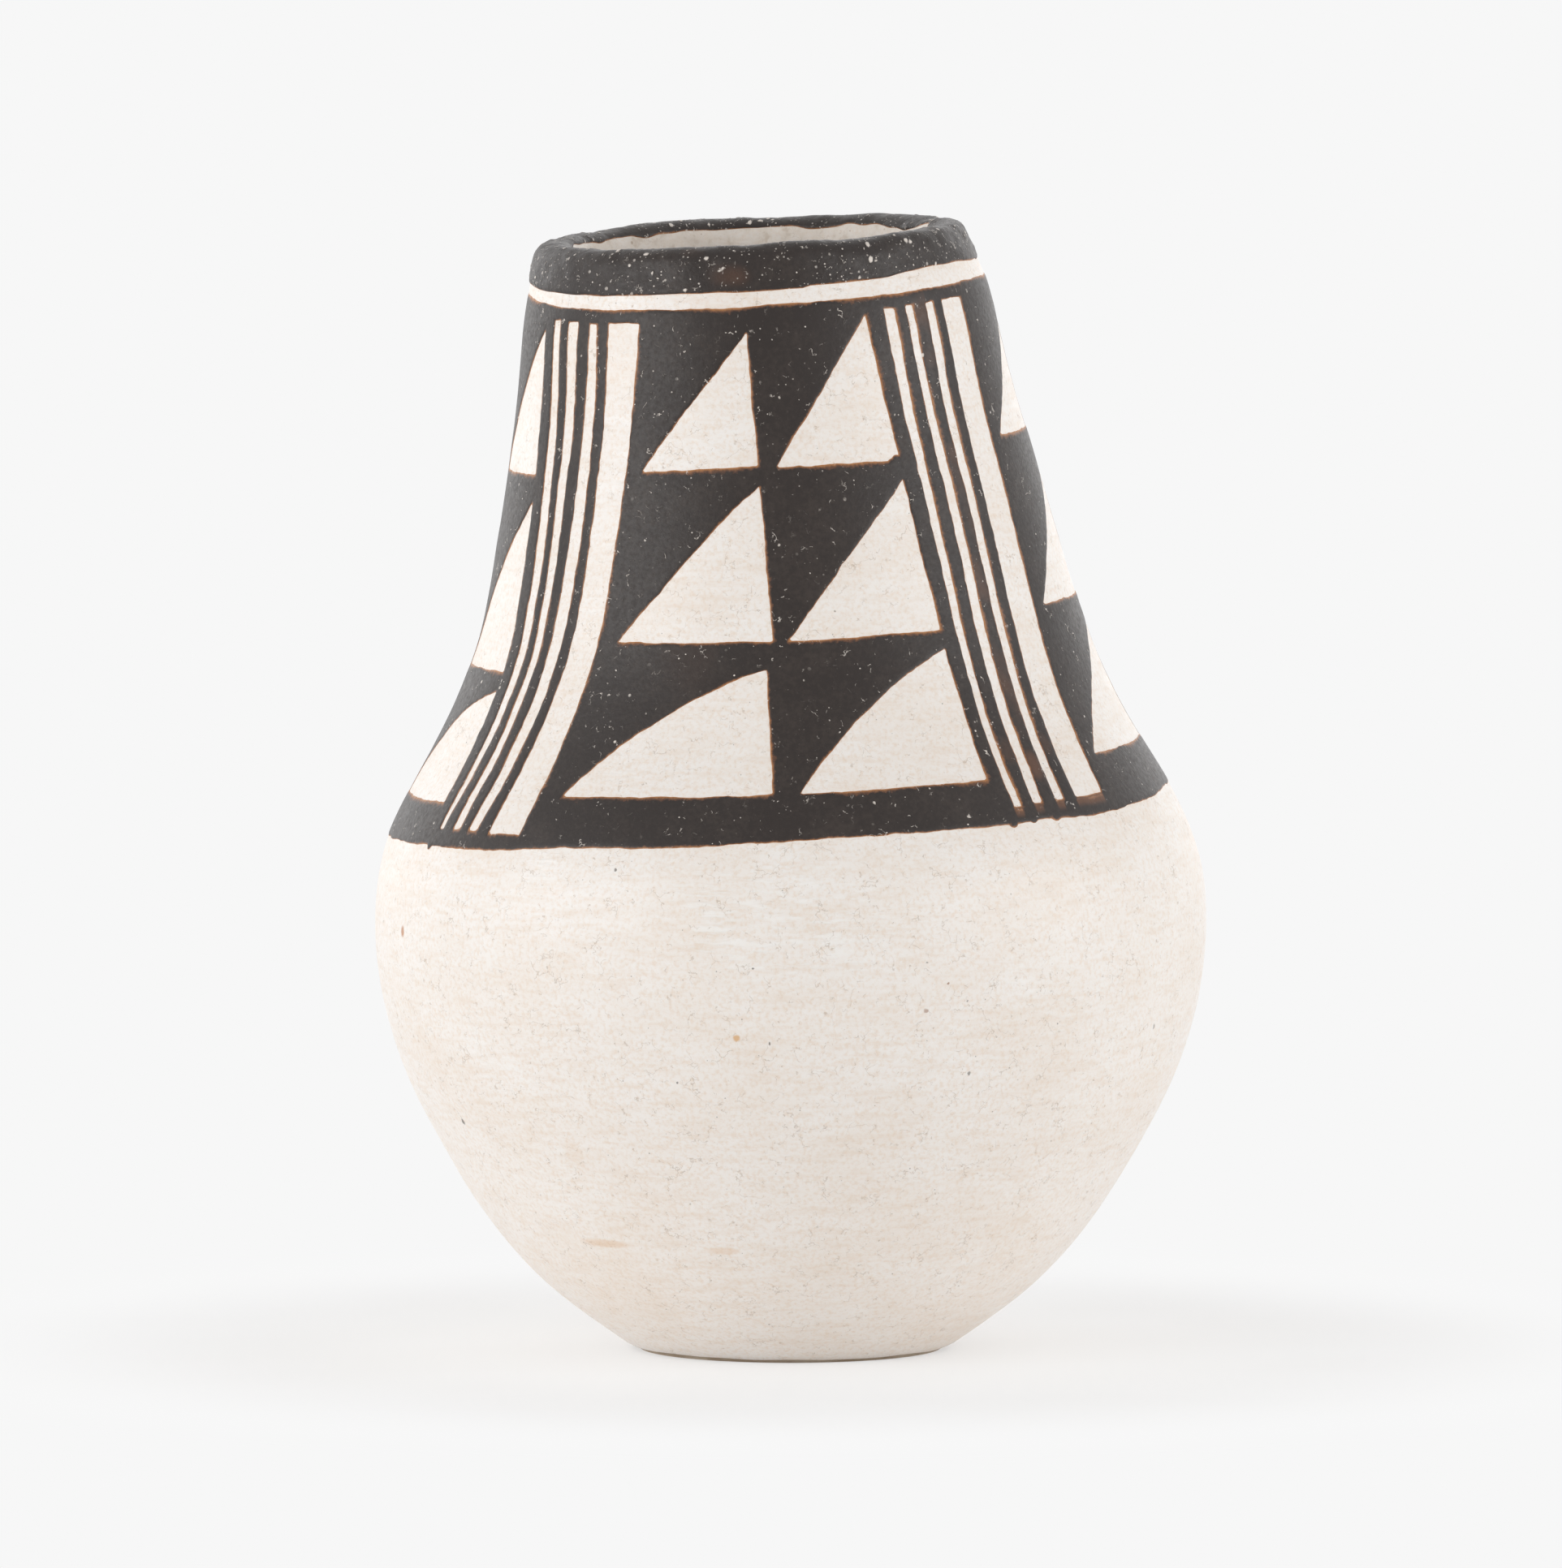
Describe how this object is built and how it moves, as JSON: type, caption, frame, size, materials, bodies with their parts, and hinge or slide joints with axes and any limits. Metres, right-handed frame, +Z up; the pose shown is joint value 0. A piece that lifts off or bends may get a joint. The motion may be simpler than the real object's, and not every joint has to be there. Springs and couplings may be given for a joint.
{
  "type": "pueblo pottery jar",
  "caption": "Small coil-built pottery jar with a round belly, tapering neck and rolled lip, white slip and black painted bands, line bundles and panels of triangles.",
  "frame": {"origin": "centre of the flat underside, on the surface that the jar stands on", "axes": "+Z up; -Y towards the pictured front; the upper half leans towards -X"},
  "size_m": [0.0802, 0.0802, 0.1092],
  "materials": {
    "clay": "matte fired clay",
    "slip": "burnished white slip",
    "paint": "matte mineral paint"
  },
  "bodies": {
    "root": {"puki_base": "clay", "lower_coil_1": "clay", "lower_coil_2": "clay", "lower_coil_3": "clay", "belly_coil": "clay", "shoulder_coil_1": "clay", "shoulder_coil_2": "clay", "neck_coil_1": "clay", "neck_coil_2": "clay", "neck_coil_3": "clay", "rim_coil": "clay", "lower_slip": "slip", "belly_slip": "slip", "upper_slip": "slip", "rim_paint": "paint", "border_paint": "paint", "band_paint": "paint", "line_paint_front_right": "paint", "line_paint_back_right": "paint", "line_paint_back_left": "paint", "line_paint_front_left": "paint", "panel_paint_front": "paint", "panel_paint_right": "paint", "panel_paint_back": "paint", "panel_paint_left": "paint"}
  },
  "joints": []
}
